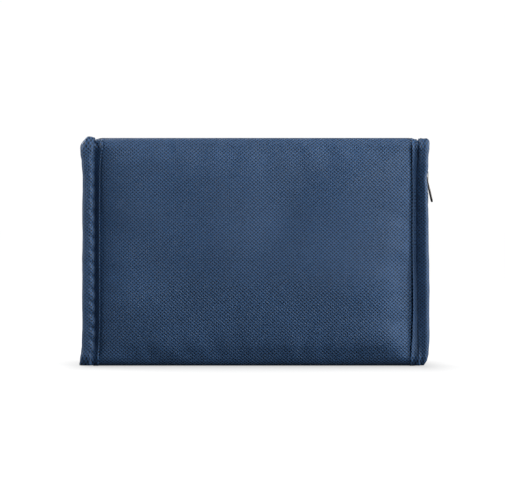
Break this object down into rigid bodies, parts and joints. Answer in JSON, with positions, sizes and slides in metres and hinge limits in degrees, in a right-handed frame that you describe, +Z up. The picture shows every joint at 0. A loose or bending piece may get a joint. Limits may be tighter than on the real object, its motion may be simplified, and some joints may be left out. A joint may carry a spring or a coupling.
{
  "type": "travel document organizer",
  "caption": "Zip-around fabric travel document organizer: padded front and back covers fold out from a flat spine, with document, card, ticket and passport pockets and a pen loop inside.",
  "frame": {"origin": "middle of the underside of the flat spine that the organizer stands on, under its bounding box centre", "axes": "+X to the viewer's right, the side where the two zip sliders meet; -Y out of the front cover; +Z up, across the height of the covers"},
  "size_m": [0.232, 0.036, 0.1503],
  "materials": {
    "outer_cloth": "matt navy nonwoven, embossed with a fine staggered dot pattern",
    "binding_cloth": "matt navy nonwoven, folded and stitched",
    "lining_cloth": "plain woven polyester, slight sheen",
    "padding": "white polyethylene foam sheet",
    "stiffener": "black fibre board",
    "zip_tape": "twill-woven polyester tape",
    "zip_coil": "coiled polyester monofilament",
    "elastic": "ribbed woven elastic",
    "dark_metal": "gunmetal-plated zinc alloy, satin"
  },
  "bodies": {
    "base": {"base_skin": "outer_cloth", "base_board": "stiffener", "base_foam": "padding", "base_lining": "lining_cloth", "base_left_binding": "binding_cloth", "base_right_binding": "binding_cloth", "left_zip_end_tab": "binding_cloth", "right_zip_end_tab": "binding_cloth"},
    "front_cover": {"front_outer_skin": "outer_cloth", "front_foam": "padding", "front_lining": "lining_cloth", "front_zip_tape": "zip_tape", "front_zip_coil": "zip_coil", "front_left_binding": "binding_cloth", "front_right_binding": "binding_cloth", "front_left_zip_stop": "dark_metal", "front_right_zip_stop": "dark_metal", "document_pocket": "lining_cloth", "document_pocket_trim": "binding_cloth", "lower_card_pocket": "lining_cloth", "lower_card_pocket_trim": "binding_cloth", "middle_card_pocket": "lining_cloth", "middle_card_pocket_trim": "binding_cloth", "upper_card_pocket": "lining_cloth", "upper_card_pocket_trim": "binding_cloth", "pen_loop": "elastic"},
    "back_cover": {"back_outer_skin": "outer_cloth", "back_foam": "padding", "back_lining": "lining_cloth", "back_zip_tape": "zip_tape", "back_zip_coil": "zip_coil", "back_left_binding": "binding_cloth", "back_right_binding": "binding_cloth", "back_left_zip_stop": "dark_metal", "back_right_zip_stop": "dark_metal", "ticket_pocket": "lining_cloth", "ticket_pocket_trim": "binding_cloth", "passport_pocket": "lining_cloth", "passport_pocket_trim": "binding_cloth"},
    "upper_slider": {"upper_slider": "dark_metal"},
    "upper_puller": {"upper_puller": "dark_metal"},
    "lower_slider": {"lower_slider": "dark_metal"},
    "lower_puller": {"lower_puller": "dark_metal"}
  },
  "joints": [
    {"name": "front_cover_fold", "type": "hinge", "parent": "base", "child": "front_cover", "pos_m": [0, -0.016, 0.002], "axis": [1, 0, 0], "range_deg": [0, 90]},
    {"name": "back_cover_fold", "type": "hinge", "parent": "base", "child": "back_cover", "pos_m": [0, 0.016, 0.002], "axis": [-1, 0, 0], "range_deg": [0, 90]},
    {"name": "upper_slider_run", "type": "slide", "parent": "back_cover", "child": "upper_slider", "axis": [0, 0, 1], "range_m": [0, 0.009]},
    {"name": "lower_slider_run", "type": "slide", "parent": "back_cover", "child": "lower_slider", "axis": [0, 0, -1], "range_m": [0, 0.083]},
    {"name": "upper_puller_swing", "type": "hinge", "parent": "upper_slider", "child": "upper_puller", "pos_m": [0.1126, 0, 0.124], "axis": [0, -1, 0], "range_deg": [0, 145]},
    {"name": "lower_puller_swing", "type": "hinge", "parent": "lower_slider", "child": "lower_puller", "pos_m": [0.1126, 0, 0.11], "axis": [0, -1, 0], "range_deg": [0, 42]}
  ]
}
